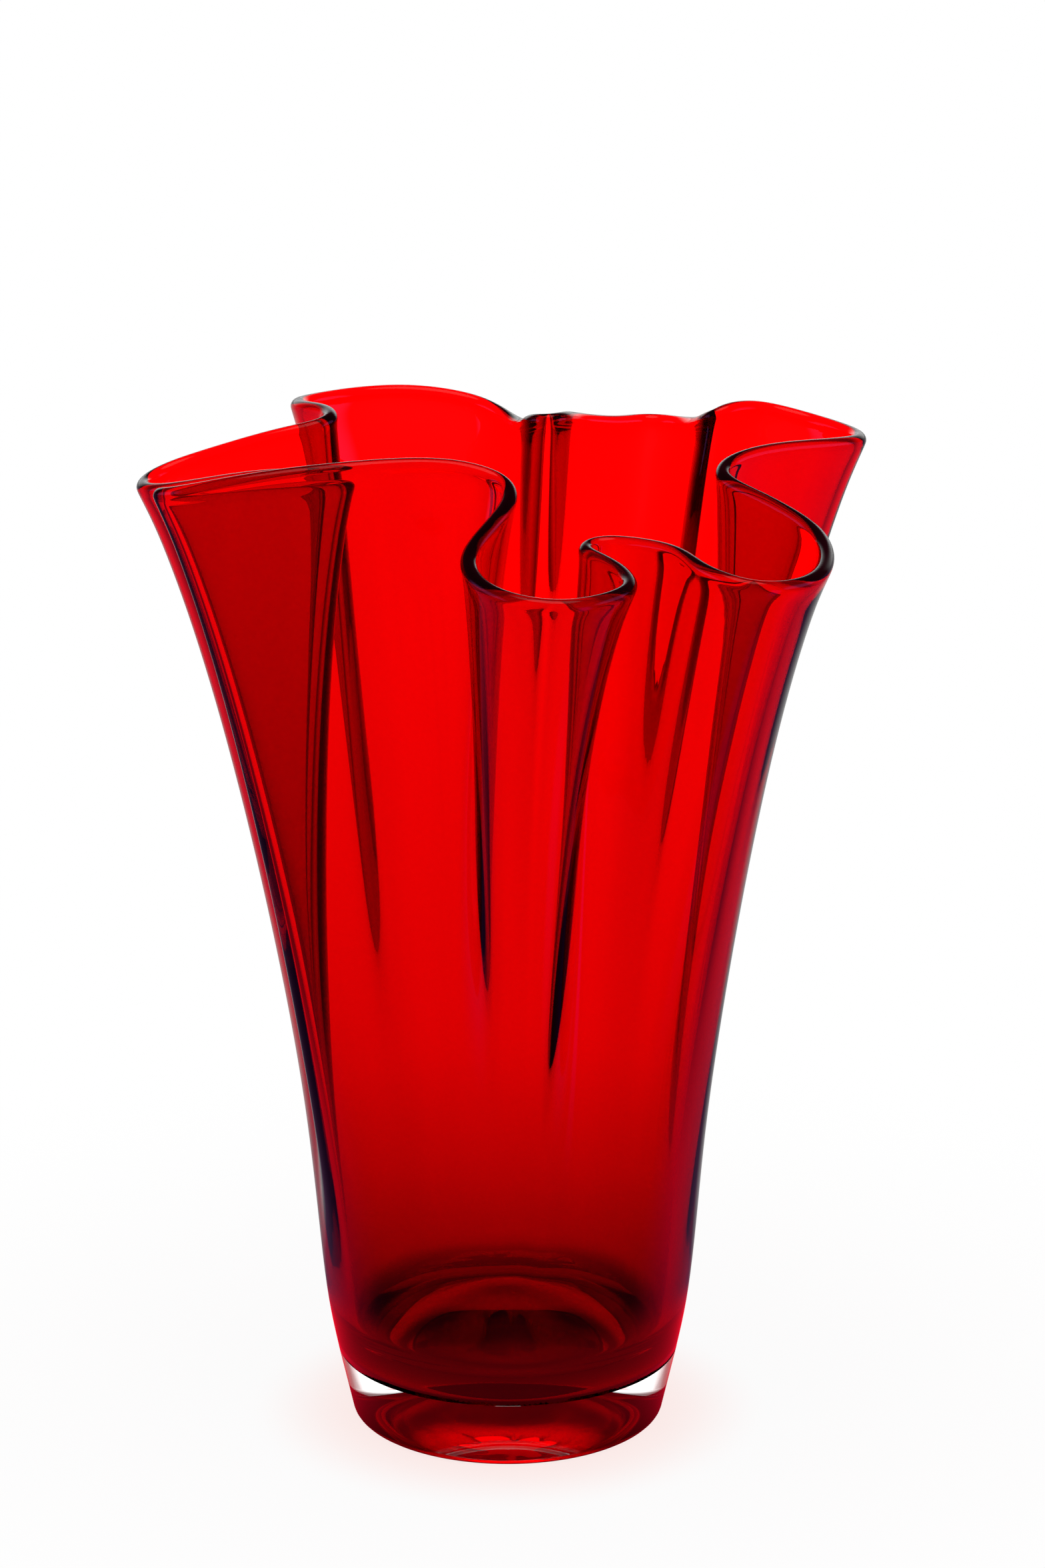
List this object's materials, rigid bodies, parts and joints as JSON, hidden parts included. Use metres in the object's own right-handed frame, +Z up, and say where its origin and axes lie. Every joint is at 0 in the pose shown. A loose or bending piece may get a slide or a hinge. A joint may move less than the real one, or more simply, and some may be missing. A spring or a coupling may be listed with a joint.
{
  "type": "handkerchief vase",
  "caption": "Tall blown red glass vase with a deeply folded, wavy handkerchief rim, flaring up from a round body fused to a thick clear glass foot.",
  "frame": {"origin": "middle of the foot's underside, at the level of the resting ring", "axes": "+Z up along the foot's axis, -Y towards the front lobe of the rim, +X to the right seen from the front"},
  "size_m": [0.2057, 0.2123, 0.2952],
  "materials": {
    "ruby_glass": "fire-polished, deep red and see-through",
    "clear_glass": "polished, colourless"
  },
  "bodies": {
    "root": {"ruby_bowl": "ruby_glass", "clear_base": "clear_glass"}
  },
  "joints": []
}
